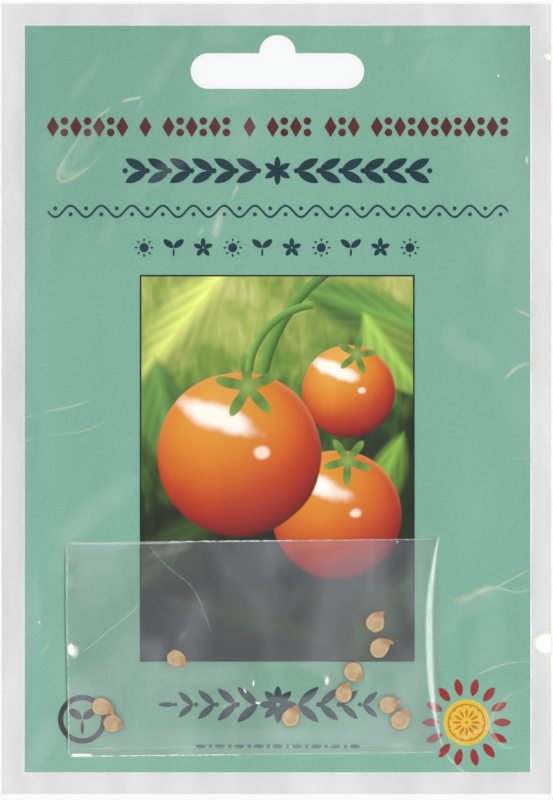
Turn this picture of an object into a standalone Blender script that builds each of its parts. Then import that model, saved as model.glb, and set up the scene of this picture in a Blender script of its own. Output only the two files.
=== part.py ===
"""Seed packet: a printed card and a sachet of pepper seeds in a clear film sleeve.

The packet lies on its back. +X runs to the right of the printed front, +Y towards the hang slot
and +Z up, out of the front. The origin is the middle of the sleeve's underside.
"""

import math

import bmesh
import bpy
from mathutils import Matrix, Vector

MM = 0.001

# Clear sleeve, sealed along its four edges
SLEEVE_WIDTH = 101.5 * MM
SLEEVE_LENGTH = 146.0 * MM
FILM = 0.1 * MM
SLEEVE_SEAL = 1.0 * MM
SLEEVE_RISE = 3.6 * MM

# Room left between pieces that lie on each other
GAP = 0.3 * MM

# Printed card
CARD_WIDTH = 93.5 * MM
CARD_LENGTH = 138.0 * MM
CARD_THICKNESS = 0.4 * MM
CARD_SHIFT = 0.2 * MM

# Hang slot punched through film and card, a round-ended slot with a half-round bump above it
SLOT_WIDTH = 32.0 * MM
SLOT_HEIGHT = 6.6 * MM
SLOT_BUMP_RADIUS = 3.35 * MM
SLOT_TOP = 63.8 * MM

# Small sachet with the seeds
SACHET_WIDTH = 68.6 * MM
SACHET_LENGTH = 39.6 * MM
SACHET_PLACE = (-4.3 * MM, -45.9 * MM)
SACHET_TURN = math.radians(0.6)
SACHET_SEAL = 1.5 * MM
SACHET_RISE = 4.5 * MM
MOUND_REACH = 4.0 * MM
MOUND_RISE = 5.5 * MM
VENT_RADIUS = 0.4 * MM
VENT_PLACE = (-18.9 * MM, -41.6 * MM)
VENT_SIDES = 12

# Seeds, each a flat round body with a raised rim and a beak
SEED_THICKNESS = 0.9 * MM
SEED_SIDES = 24
SEED_BEAK_WIDTH = 0.34
SEED_BEAK_SKEW = 1.7
SEED_RINGS = ((0.45, 0.80), (0.78, 1.0), (0.93, 0.70))
SEED_CENTRE_SHARE = 0.76
SEED_BEAK_THINNING = 0.35
# Each seed's place in x and y, its body's radius and the reach of its beak from the body's centre,
# all in mm, and the way its beak points in degrees
SEEDS = (
    (-18.6, -47.8, 1.58, 2.40, -24),
    (-32.4, -56.7, 1.62, 2.95, -15),
    (-30.3, -59.8, 1.62, 2.10, -12),
    (18.2, -41.3, 1.72, 2.65, 67),
    (18.9, -46.0, 1.72, 2.95, 41),
    (14.1, -50.2, 1.74, 2.45, -45),
    (12.4, -54.4, 1.56, 2.30, 76),
    (2.6, -58.8, 1.62, 2.50, 55),
    (20.5, -56.4, 1.58, 2.45, 2),
    (22.8, -59.3, 1.76, 2.60, 51),
)

# Heights of what lies on what, from the surface that the packet lies on
CARD_UNDERSIDE = FILM + GAP
CARD_FACE = CARD_UNDERSIDE + CARD_THICKNESS
SACHET_UNDERSIDE = CARD_FACE + GAP
SEED_MIDDLE = SACHET_UNDERSIDE + FILM + GAP + SEED_THICKNESS / 2
SACHET_FACE = SEED_MIDDLE + SEED_THICKNESS / 2 + GAP + FILM
SLEEVE_OVER_CARD = CARD_FACE + GAP + FILM
SLEEVE_OVER_SACHET = SACHET_FACE + GAP + FILM

GRID_STEP = 2.6 * MM
CUTTER_MARGIN = 2.0 * MM
ARC_STEPS = 12
SMOOTH_ANGLE = math.radians(35)


def smooth_step(share):
    """0 up to 1 with a level start and end."""
    share = min(max(share, 0.0), 1.0)
    return share * share * (3.0 - 2.0 * share)


def plateau(x, y, width, length, reach, run):
    """1 over a rectangle round the origin, falling to 0 over run, from reach outside its edges inwards."""
    across = smooth_step((width / 2 + reach - abs(x)) / run)
    along = smooth_step((length / 2 + reach - abs(y)) / run)
    return across * along


def spread(low, high, step):
    """Even values from low to high, both included, about step apart."""
    count = max(1, round((high - low) / step))
    return [low + (high - low) * i / count for i in range(count + 1)]


def in_sachet(x, y):
    """A point of the packet's plane in the sachet's own turned frame."""
    offset = Vector((x, y)) - Vector(SACHET_PLACE)
    offset.rotate(Matrix.Rotation(-SACHET_TURN, 2))
    return offset


def sleeve_face(x, y):
    """Height of the sleeve's front film: sealed at the rim, over the card, and higher over the sachet."""
    over_card = plateau(x, y, SLEEVE_WIDTH, SLEEVE_LENGTH, 0.0, SLEEVE_RISE)
    mound = plateau(*in_sachet(x, y), SACHET_WIDTH, SACHET_LENGTH, MOUND_REACH, MOUND_RISE)
    return (
        2 * FILM
        + (SLEEVE_OVER_CARD - 2 * FILM) * over_card
        + (SLEEVE_OVER_SACHET - SLEEVE_OVER_CARD) * mound
    )


def sachet_face(x, y):
    """Height of the sachet's front film, in the sachet's own frame."""
    lift = plateau(x, y, SACHET_WIDTH, SACHET_LENGTH, 0.0, SACHET_RISE)
    return SACHET_UNDERSIDE + 2 * FILM + (SACHET_FACE - SACHET_UNDERSIDE - 2 * FILM) * lift


def material(name, colour, roughness, alpha=1.0):
    made = bpy.data.materials.new(name)
    made.use_nodes = True
    shader = made.node_tree.nodes["Principled BSDF"]
    shader.inputs["Base Color"].default_value = (*colour, 1.0)
    shader.inputs["Roughness"].default_value = roughness
    shader.inputs["Metallic"].default_value = 0.0
    shader.inputs["Alpha"].default_value = alpha
    return made


def add(name, mesh, finish=None, parent=None):
    """An object of that mesh, shaded smooth up to a moderate edge angle."""
    made = bpy.data.objects.new(name, mesh)
    bpy.context.collection.objects.link(made)
    mesh.shade_smooth()
    mesh.set_sharp_from_angle(angle=SMOOTH_ANGLE)
    if finish:
        mesh.materials.append(finish)
    made.parent = parent
    return made


def mesh_of(name, shape):
    """The bmesh as a mesh with its faces pointing out."""
    bmesh.ops.recalc_face_normals(shape, faces=shape.faces)
    made = bpy.data.meshes.new(name)
    shape.to_mesh(made)
    shape.free()
    return made


def sheet_solid(name, xs, ys, top, bottom):
    """A closed solid over the grid of xs and ys, from the flat height bottom up to top(x, y)."""
    shape = bmesh.new()
    rows = [[shape.verts.new((x, y, bottom)) for x in xs] for y in ys]
    for lower, upper in zip(rows, rows[1:]):
        for i in range(len(xs) - 1):
            shape.faces.new((lower[i], lower[i + 1], upper[i + 1], upper[i]))
    raised = bmesh.ops.extrude_face_region(shape, geom=shape.faces[:])["geom"]
    for vertex in (part for part in raised if isinstance(part, bmesh.types.BMVert)):
        vertex.co.z = top(vertex.co.x, vertex.co.y)
    bmesh.ops.triangulate(shape, faces=shape.faces[:])
    return mesh_of(name, shape)


def prism(name, outline, low, high):
    """The outline, a list of points x and y, as a straight solid from low to high."""
    shape = bmesh.new()
    face = shape.faces.new([shape.verts.new((x, y, low)) for x, y in outline])
    raised = bmesh.ops.extrude_face_region(shape, geom=[face])["geom"]
    moved = [part for part in raised if isinstance(part, bmesh.types.BMVert)]
    bmesh.ops.translate(shape, verts=moved, vec=(0.0, 0.0, high - low))
    return mesh_of(name, shape)


def arc(centre, radius, start, end, steps=ARC_STEPS):
    """Points along an arc, with its angles in degrees."""
    angles = [math.radians(start + (end - start) * i / steps) for i in range(steps + 1)]
    return [(centre[0] + radius * math.cos(a), centre[1] + radius * math.sin(a)) for a in angles]


def slot_outline():
    end = SLOT_HEIGHT / 2
    reach = SLOT_WIDTH / 2 - end
    middle = SLOT_TOP - end
    return [
        *arc((CARD_SHIFT + reach, middle), end, -90, 90),
        *arc((CARD_SHIFT, SLOT_TOP), SLOT_BUMP_RADIUS, 0, 180),
        *arc((CARD_SHIFT - reach, middle), end, 90, 270),
    ]


def rectangle(width, length, shift=0.0):
    half, end = width / 2, length / 2
    return [(shift - half, -end), (shift + half, -end), (shift + half, end), (shift - half, end)]


def cutter(name, mesh):
    made = add(name, mesh)
    made.hide_render = True
    made.display_type = "WIRE"
    return made


def cut(target, tool):
    step = target.modifiers.new(tool.name, "BOOLEAN")
    step.operation = "DIFFERENCE"
    step.solver = "EXACT"
    step.object = tool


def sleeve(parent, slot):
    """One bag of clear film: front and back sealed at the rim, and open inside through the hang slot."""
    margins = []
    for half, low, high in (
        (SLEEVE_WIDTH / 2, CARD_SHIFT - CARD_WIDTH / 2, CARD_SHIFT + CARD_WIDTH / 2),
        (SLEEVE_LENGTH / 2, -CARD_LENGTH / 2, CARD_LENGTH / 2),
    ):
        inner = half - SLEEVE_SEAL
        fine = SLEEVE_RISE / 4
        lines = spread(-inner, low, fine) + spread(low, high, GRID_STEP)[1:-1] + spread(high, inner, fine)
        margins.append([-half, *lines, half])
    xs, ys = margins
    film = material("clear sleeve film", (0.86, 0.87, 0.87), 0.12, 0.22)
    made = add("sleeve", sheet_solid("sleeve", xs, ys, sleeve_face, 0.0), film, parent)
    room = sheet_solid("sleeve_room", xs[1:-1], ys[1:-1], lambda x, y: sleeve_face(x, y) - FILM, FILM)
    cut(made, cutter("sleeve_room", room))
    cut(made, slot)


def card(parent, slot):
    printed = material("printed card", (0.22, 0.45, 0.34), 0.45)
    outline = rectangle(CARD_WIDTH, CARD_LENGTH, CARD_SHIFT)
    made = add("card", prism("card", outline, CARD_UNDERSIDE, CARD_FACE), printed, parent)
    cut(made, slot)


def sachet(parent):
    """A flat bag of clear film, sealed on its four sides, with one needle vent in its front."""
    lines = []
    for size in (SACHET_WIDTH, SACHET_LENGTH):
        half = size / 2
        rim = spread(half - SACHET_RISE, half - SACHET_SEAL, SACHET_SEAL / 2)
        lines.append([-half, *(-value for value in reversed(rim)), *rim, half])
    xs, ys = lines
    film = material("clear sachet film", (0.84, 0.84, 0.86), 0.2, 0.25)
    made = add("sachet", sheet_solid("sachet", xs, ys, sachet_face, SACHET_UNDERSIDE), film, parent)
    floor = SACHET_UNDERSIDE + FILM
    room = sheet_solid("sachet_room", xs[1:-1], ys[1:-1], lambda x, y: sachet_face(x, y) - FILM, floor)
    made_room = cutter("sachet_room", room)
    for piece in (made, made_room):
        piece.location = (*SACHET_PLACE, 0.0)
        piece.rotation_euler.z = SACHET_TURN
    cut(made, made_room)
    middle = (SEED_MIDDLE, SACHET_FACE + CUTTER_MARGIN)
    hole = arc(VENT_PLACE, VENT_RADIUS, 0, 360 - 360 / VENT_SIDES, VENT_SIDES - 1)
    cut(made, cutter("vent", prism("vent", hole, *middle)))


def seed_reach(angle, radius, beak):
    """Distance from the body's centre to the seed's edge. One flank of the beak is steeper than the other."""
    width = SEED_BEAK_WIDTH * (SEED_BEAK_SKEW if angle > 0 else 1.0)
    return radius + (beak - radius) * math.exp(-((angle / width) ** 2))


def seed_mesh(name, radius, beak):
    """Rings from the middle of each face out to the edge, where front and back meet."""
    angles = [2 * math.pi * i / SEED_SIDES - math.pi for i in range(SEED_SIDES)]
    half = SEED_THICKNESS / 2
    shape = bmesh.new()

    def ring(share, height):
        points = []
        for angle in angles:
            reach = seed_reach(angle, radius, beak)
            thinner = 1.0 - SEED_BEAK_THINNING * (reach - radius) / (beak - radius)
            x = share * reach * math.cos(angle)
            y = share * reach * math.sin(angle)
            points.append(shape.verts.new((x, y, height * thinner)))
        return points

    def band(outer, inner):
        for i in range(SEED_SIDES):
            j = (i + 1) % SEED_SIDES
            shape.faces.new((outer[i], outer[j], inner[j], inner[i]))

    edge = ring(1.0, 0.0)
    for side in (half, -half):
        last = edge
        for share, height in reversed(SEED_RINGS):
            following = ring(share, side * height)
            band(last, following)
            last = following
        middle = shape.verts.new((0.0, 0.0, side * SEED_CENTRE_SHARE))
        for i in range(SEED_SIDES):
            shape.faces.new((last[i], last[(i + 1) % SEED_SIDES], middle))
    return mesh_of(name, shape)


def seeds(parent):
    coat = material("seed coat", (0.60, 0.42, 0.22), 0.6)
    for number, (x, y, radius, beak, turn) in enumerate(SEEDS, 1):
        name = f"seed_{number:02d}"
        made = add(name, seed_mesh(name, radius * MM, beak * MM), coat, parent)
        made.location = (x * MM, y * MM, SEED_MIDDLE)
        made.rotation_euler.z = math.radians(turn)


def main():
    for old in list(bpy.data.objects):
        bpy.data.objects.remove(old)
    packet = bpy.data.objects.new("packet", None)
    bpy.context.collection.objects.link(packet)
    slot = cutter("hang_slot", prism("hang_slot", slot_outline(), -CUTTER_MARGIN, CUTTER_MARGIN * 2))
    sleeve(packet, slot)
    card(packet, slot)
    sachet(packet)
    seeds(packet)


main()
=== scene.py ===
"""The finish of a seed packet: a printed card and a sachet of seeds in a clear film sleeve, lying face up."""

import math

import bpy
import numpy as np
from mathutils import Euler, Matrix, Vector


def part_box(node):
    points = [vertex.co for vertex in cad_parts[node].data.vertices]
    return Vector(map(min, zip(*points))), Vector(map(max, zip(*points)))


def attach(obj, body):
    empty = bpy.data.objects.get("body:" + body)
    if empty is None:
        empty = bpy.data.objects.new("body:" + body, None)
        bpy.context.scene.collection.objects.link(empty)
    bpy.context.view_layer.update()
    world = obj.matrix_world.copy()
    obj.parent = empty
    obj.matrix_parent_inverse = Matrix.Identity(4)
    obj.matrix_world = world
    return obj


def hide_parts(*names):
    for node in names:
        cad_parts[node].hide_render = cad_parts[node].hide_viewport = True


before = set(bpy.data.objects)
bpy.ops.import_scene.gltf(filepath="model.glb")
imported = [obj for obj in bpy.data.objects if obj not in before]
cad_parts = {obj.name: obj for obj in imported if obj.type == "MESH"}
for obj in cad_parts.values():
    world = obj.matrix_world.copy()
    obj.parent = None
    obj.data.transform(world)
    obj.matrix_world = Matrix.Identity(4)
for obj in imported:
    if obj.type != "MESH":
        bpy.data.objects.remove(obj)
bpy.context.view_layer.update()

MM = 0.001

# The picture's frame, and the length that one of its pixels shows
PHOTO_HEIGHT = 800
PIXEL = 0.1845 * MM
VIEW_CENTRE = (0.03 * MM, -0.2 * MM)
LENS = 120.0
SENSOR = 36.0

# Thicknesses of a film, of a mark on it and of printing ink
FILM = 0.1 * MM
MARK = 0.008 * MM
INK = 0.012 * MM

# How far the floor lies under the packet, and how wide it is
TOUCH = 0.02 * MM
FLOOR_WIDTH = 6.0

# Heights in the stack: the top of the sachet's back film, of its welded front film, and the seeds' middle
SACHET_BACK = 1.0 * MM
SACHET_WELD = 1.12 * MM
SEED_MIDDLE = 1.39 * MM
SEED_THICKNESS = 0.72 * MM

# Hang slot
SLOT_WIDTH = 32.0 * MM
SLOT_HEIGHT = 6.6 * MM
SLOT_BUMP_RADIUS = 3.35 * MM
SLOT_TOP = 63.8 * MM

# Sachet
SACHET_PLACE = (-4.3 * MM, -45.9 * MM)
SACHET_WIDTH = 68.6 * MM
SACHET_LENGTH = 39.6 * MM
SACHET_TURN = math.radians(0.6)

# Its front film: the weld along its edges, how steeply the film rises inside that, how far it stands off
# between the seeds, and how it lies over them like a tent
WELD_WIDTH = 0.6 * MM
WELD_SLOPE = 0.24
SACHET_SLACK = 0.2 * MM
TENT_TOP_RADIUS = 1.8 * MM
TENT_CLEARANCE = 0.13 * MM
TENT_SLOPE = 0.17

# The crimps in its left weld: how deep, how far apart and how far in
CRIMP_DEPTH = 0.02 * MM
CRIMP_PITCH = 2 * math.pi * 0.62 * MM
CRIMP_REACH = 2.2 * MM

# The oval where the sachet's films are pressed together: its middle, half width and half length in mm
PRESSED_OVAL = (2.1, -52.3, 6.5, 2.8)

# Picture on the card
PICTURE_PLACE = (0.16 * MM, -12.8 * MM)
PICTURE_WIDTH = 50.1 * MM
PICTURE_LENGTH = 70.75 * MM
KEYLINE = 0.32 * MM

# Seeds: place in x and y, body radius, reach of the beak, all in mm, and the way that the beak points
SEEDS = (
    (-18.6, -47.8, 1.58, 2.40, -24),
    (-32.4, -56.7, 1.62, 2.95, -15),
    (-30.3, -59.8, 1.62, 2.10, -12),
    (18.2, -41.3, 1.72, 2.65, 67),
    (18.9, -46.0, 1.72, 2.95, 41),
    (14.1, -50.2, 1.74, 2.45, -45),
    (12.4, -54.4, 1.56, 2.30, 76),
    (2.6, -58.8, 1.62, 2.50, 55),
    (20.5, -56.4, 1.58, 2.45, 2),
    (22.8, -59.3, 1.76, 2.60, 51),
)

# Creases in the sleeve's front film: points in mm, width in mm and how strong the cream painted highlight
# along it is
CREASES = (
    (((-24.2, 55.7), (-27.4, 55.1), (-29.0, 54.4)), 0.55, 0.17),
    (((-30.0, 53.9), (-31.6, 52.9), (-34.0, 51.0)), 0.50, 0.12),
    (((-33.0, 51.8), (-35.1, 49.6), (-37.3, 46.7), (-39.2, 43.7), (-40.2, 41.5), (-39.9, 40.3), (-38.4, 40.2),
      (-36.2, 41.5), (-34.0, 43.3), (-31.0, 46.6)), 0.66, 0.095),
    (((-38.5, 44.6), (-39.3, 42.6), (-39.0, 41.2), (-37.4, 41.4), (-35.4, 42.8)), 1.3, 0.075),
    (((-24.0, 55.9), (-24.8, 54.6), (-25.7, 52.6)), 0.45, 0.045),
    (((-47.4, -3.4), (-45.2, -3.2), (-43.9, -2.9)), 0.5, 0.06),
    (((-43.4, -2.7), (-40.9, -2.0), (-38.1, -1.5), (-35.0, -0.5), (-33.4, 0.2)), 0.46, 0.12),
    (((-47.4, -7.9), (-45.4, -7.6), (-44.2, -7.3)), 0.5, 0.055),
    (((-43.1, -7.1), (-40.3, -6.5), (-36.5, -6.1), (-33.4, -5.2), (-31.4, -4.2), (-29.6, -2.6)), 0.56, 0.06),
    (((43.8, 16.7), (45.4, 15.9), (47.6, 15.0)), 0.7, 0.102),
    (((41.4, 3.0), (42.8, 4.4), (44.3, 5.7), (45.6, 6.3), (47.4, 6.5)), 0.65, 0.128),
    (((42.5, 3.8), (43.6, 5.3), (44.2, 6.5)), 0.6, 0.064),
    (((43.0, -11.1), (45.0, -10.9), (47.6, -10.6)), 0.45, 0.064),
    (((31.6, -37.4), (34.2, -37.0), (37.0, -35.8), (39.4, -34.9), (41.3, -34.7)), 1.25, 0.10),
    (((36.8, -36.0), (38.8, -34.9), (41.0, -34.8)), 0.9, 0.07),
    (((39.3, -35.2), (41.3, -34.3), (43.7, -33.0), (46.4, -31.6), (48.2, -30.8)), 0.44, 0.12),
    (((39.8, -34.8), (41.3, -34.9), (44.0, -35.6), (46.4, -35.2), (48.0, -34.6)), 0.46, 0.10),
    (((34.6, -52.6), (37.2, -50.9), (39.8, -49.6), (42.9, -48.7), (46.3, -48.5), (48.6, -48.7)), 0.44, 0.10),
    (((48.4, -53.5), (46.0, -53.8), (43.1, -54.6), (40.9, -56.6), (39.4, -59.8), (40.3, -62.4), (42.4, -64.2),
      (44.6, -63.9), (48.4, -62.6)), 0.52, 0.095),
    (((38.9, -58.8), (39.1, -60.6), (40.1, -62.5), (41.8, -64.1)), 0.9, 0.051),
    (((31.2, -64.6), (33.9, -62.5), (36.2, -61.4), (39.4, -60.2)), 0.75, 0.07),
    (((30.6, -64.4), (32.0, -66.4), (34.0, -68.3), (37.0, -70.6)), 0.5, 0.13),
    (((-6.9, 40.1), (-7.4, 38.6), (-8.4, 36.4)), 0.8, 0.077),
    (((-9.6, 35.4), (-10.6, 33.2), (-11.0, 31.4), (-11.8, 28.9)), 1.5, 0.09),
    (((-10.0, 33.6), (-10.9, 32.0), (-10.9, 30.2)), 0.7, 0.064),
    (((-14.9, 29.8), (-14.0, 30.7), (-13.2, 32.2)), 0.8, 0.064),
    (((-43.7, -47.3), (-42.6, -46.1), (-41.4, -44.5)), 0.5, 0.058),
)
CREASE_STEEPNESS = 0.09

# How far a mark lies above the sleeve's film and above the sachet's weld
CREASE_LIFT = 0.03 * MM
WELD_LIFT = 0.035 * MM

# The front film's grid is twice as fine within the first of these of a crease, and again within the second
CREASE_REACHES = (1.7 * MM, 1.0 * MM)

# The steepest slope of a bell curve of width 1 and height 1
STEEPEST = 0.858

# Faint broad patches of painted sheen, where a film is duller and scatters more light in place of its broad
# reflections: x, y, half length and half width in mm, turn in degrees, and how dull; a film that is clearer
# there, which paints shade, has a negative value
SLEEVE_SHEENS = (
    (-35.4, 58.8, 5.4, 1.2, 54, 0.28),
    (-40.8, 47.2, 6.0, 1.6, 60, 0.15),
    (-35.4, 46.6, 6.6, 1.3, 53, 0.25),
    (-10.3, 66.8, 3.6, 2.2, 0, 0.30),
    (-20.0, 62.0, 7.0, 1.6, 62, 0.22),
    (-8.4, 55.6, 5.2, 2.0, 12, 0.20),
    (-5.6, 47.8, 3.4, 5.0, -25, 0.20),
    (-20.6, 42.0, 8.0, 1.6, 40, 0.18),
    (-31.0, 30.8, 3.2, 1.2, 60, 0.20),
    (-42.2, 30.2, 4.6, 0.5, 86, 0.30),
    (-33.4, -20.6, 10.5, 2.6, 38, 0.28),
    (-38.8, -27.8, 6.5, 1.6, 62, 0.18),
    (-44.9, -40.2, 8.0, 1.5, 90, 0.30),
    (-43.4, -64.0, 6.0, 2.4, 62, 0.30),
    (35.6, 8.6, 5.4, 2.6, -28, 0.28),
    (31.6, 12.4, 2.8, 1.3, 60, 0.2),
    (38.6, -18.0, 9.0, 3.0, 70, 0.12),
    (32.6, -40.8, 4.4, 1.6, 58, 0.2),
    (37.8, -37.2, 4.6, 2.6, 24, 0.28),
    (41.0, -57.6, 4.6, 3.4, 60, 0.25),
    (39.0, -46.0, 7.0, 3.4, 80, 0.16),
    (20.4, 66.6, 2.0, 0.5, 84, 0.30),
    (27.0, 62.2, 4.0, 1.0, 70, 0.2),
    (-40.0, 61.0, 9.0, 7.0, 45, -0.12),
    (38.0, 62.0, 8.0, 6.0, 0, -0.08),
    (40.4, 26.0, 7.0, 1.4, 78, 0.12),
)
SACHET_SHEENS = (
    (-34.7, -34.9, 2.4, 2.2, 60, 0.12),
    (-32.0, -27.3, 6.5, 0.9, 2, 0.35),
    (-27.6, -47.6, 6.5, 2.8, 70, 0.22),
    (-36.0, -53.4, 2.8, 2.0, 80, 0.25),
    (-11.7, -51.0, 4.6, 1.9, 6, 0.25),
    (-7.4, -56.4, 3.4, 2.6, 20, 0.20),
    (-22.8, -46.2, 2.6, 2.4, 0, 0.25),
    (-17.2, -43.6, 1.2, 0.35, 48, 0.45),
    (-19.6, -27.9, 4.4, 1.0, 14, 0.30),
    (-1.4, -29.8, 4.2, 1.8, 84, 0.16),
    (3.4, -36.4, 3.2, 1.3, 70, 0.10),
    (7.6, -42.6, 5.2, 1.0, 78, 0.10),
    (17.4, -31.4, 5.2, 0.7, 90, 0.16),
    (24.4, -52.6, 7.0, 2.6, 84, 0.30),
    (25.6, -34.0, 8.0, 2.0, 88, 0.25),
    (-4.0, -63.0, 26.0, 2.4, 0, 0.30),
    (14.0, -60.6, 8.0, 2.6, 0, 0.25),
    (-31.4, -41.4, 9.0, 1.7, 52, -0.25),
    (-33.0, -36.6, 5.0, 4.0, 60, -0.20),
    (-37.5, -31.6, 1.5, 0.7, 90, -0.4),
    (-37.4, -35.7, 1.1, 0.8, 90, -0.5),
    (-37.6, -38.8, 0.9, 0.5, 90, -0.4),
    (-37.7, -41.8, 1.1, 0.45, 90, -0.4),
    (-36.9, -49.4, 2.0, 0.8, 30, -0.35),
    (-31.5, -53.0, 5.0, 3.6, 70, 0.14),
    (26.5, -38.0, 5.0, 1.6, 88, 0.14),
)

# The fold where the sleeve's film comes down from the sachet: its line in mm, the half width of its slope
# in mm, how steep that is, and how far the fold shapes the film to either side
FOLD_LINE = (
    (30.2, -24.6), (29.6, -27.0), (28.9, -31.6), (28.3, -37.1), (28.2, -44.5), (28.5, -51.9),
    (29.1, -57.4), (29.9, -61.5), (31.0, -65.2),
)
FOLD_HALF_WIDTH = 1.05
FOLD_STEEPNESS = 0.47
FOLD_REACH = 2.6 * MM

# Painted glints, drawn as places where the film is white: x, y, half width and half length in mm, turn in
# degrees, and how white
WHITE_SPOTS = (
    (50.3, -45.2, 2.6, 1.9, 0, 0.95),
    (50.5, 63.1, 1.3, 0.7, -20, 0.55),
    (40.9, 59.6, 0.22, 0.22, 0, 0.45),
    (46.2, 44.1, 0.3, 0.8, 0, 0.22),
    (-37.8, -46.2, 0.62, 1.1, 8, 0.75),
    (-37.1, -46.6, 0.7, 1.2, 0, 0.25),
    (22.3, -26.4, 0.2, 0.2, 0, 0.25),
    (-4.2, -52.3, 0.2, 0.65, 0, 0.5),
    (-5.8, -53.7, 0.16, 0.6, 30, 0.5),
    (-3.4, -56.0, 0.5, 0.24, -12, 0.5),
    (9.3, -51.9, 0.42, 0.85, 0, 0.42),
    (-43.7, -41.2, 0.3, 0.22, 30, 0.35),
)

# Hairline creases in the film over the sachet: points in mm and how white they are
HAIRLINES = (
    (((-24.7, -25.2), (-21.5, -29.4), (-18.1, -32.5), (-15.9, -34.2), (-14.1, -37.1), (-12.6, -41.2),
      (-11.3, -44.1)), 0.11),
    (((-25.0, -37.3), (-27.2, -39.9), (-30.7, -42.6), (-34.0, -45.4), (-36.2, -47.0)), 0.18),
    (((-10.4, -56.9), (-8.2, -56.0), (-6.2, -55.2)), 0.22),
)

# A crease's ribbon is so much wider than the crease, and a hairline's ribbon is so wide in mm
RIBBON_SPREAD = 1.7
HAIRLINE_WIDTH = 0.34

SMOOTH_ANGLE = math.radians(40)


def deselect():
    bpy.ops.object.select_all(action="DESELECT")


def make_active(piece):
    deselect()
    piece.select_set(True)
    bpy.context.view_layer.objects.active = piece


class Editing:
    """The piece in edit mode, with nothing selected to begin with."""

    def __init__(self, piece, kind="VERT", selected=False):
        self.piece, self.kind, self.selected = piece, kind, selected

    def __enter__(self):
        make_active(self.piece)
        bpy.ops.object.mode_set(mode="EDIT")
        bpy.ops.mesh.select_mode(type=self.kind)
        bpy.ops.mesh.select_all(action="SELECT" if self.selected else "DESELECT")

    def __exit__(self, *_):
        bpy.ops.object.mode_set(mode="OBJECT")


def added(primitive, **settings):
    """A new primitive at its size and place, with nothing else selected."""
    deselect()
    primitive(**settings)
    return bpy.context.object


def settled(piece, name):
    """The piece named, with its place moved into its mesh."""
    make_active(piece)
    bpy.ops.object.transform_apply(location=True, rotation=True, scale=True)
    piece.name = piece.data.name = name
    return piece


def corners_of(piece):
    """The mesh's points as an array of rows."""
    points = np.empty(len(piece.data.vertices) * 3)
    piece.data.vertices.foreach_get("co", points)
    return points.reshape(-1, 3)


def set_corners(piece, points):
    piece.data.vertices.foreach_set("co", np.asarray(points, np.float32).ravel())
    piece.data.update()


def finish_modifier(piece, kind, **settings):
    """Adds a modifier and applies it."""
    step = piece.modifiers.new(kind.title(), kind)
    for name, value in settings.items():
        setattr(step, name, value)
    make_active(piece)
    bpy.ops.object.modifier_apply(modifier=step.name)


def smooth(piece, angle=SMOOTH_ANGLE):
    make_active(piece)
    bpy.ops.object.shade_smooth_by_angle(angle=angle)


def joined(name, pieces):
    """The pieces as one, under that name."""
    make_active(pieces[0])
    for piece in pieces:
        piece.select_set(True)
    if len(pieces) > 1:
        bpy.ops.object.join()
    pieces[0].name = pieces[0].data.name = name
    return pieces[0]


def copy_at(piece, place, turn, scale):
    """A copy of a flat shape with its own mesh, scaled, turned and moved in its plane."""
    made = piece.copy()
    made.data = piece.data.copy()
    bpy.context.collection.objects.link(made)
    there = Matrix.Translation((*place, 0.0)) @ Matrix.Rotation(turn, 4, "Z")
    made.data.transform(there @ Matrix.Diagonal((scale, scale, 1.0, 1.0)))
    return made


def remove(*pieces):
    for piece in pieces:
        bpy.data.objects.remove(piece)


# Materials


class Field:
    """A number that varies over a surface. Sums with it make nodes of its material."""

    def __init__(self, finish, socket):
        self.finish, self.socket = finish, socket

    def __add__(self, other):
        return self.finish.math("ADD", self, other)

    def __sub__(self, other):
        return self.finish.math("SUBTRACT", self, other)

    def __rsub__(self, other):
        return self.finish.math("SUBTRACT", other, self)

    def __mul__(self, other):
        return self.finish.math("MULTIPLY", self, other)

    def __truediv__(self, other):
        return self.finish.math("DIVIDE", self, other)

    __radd__ = __add__
    __rmul__ = __mul__


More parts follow.
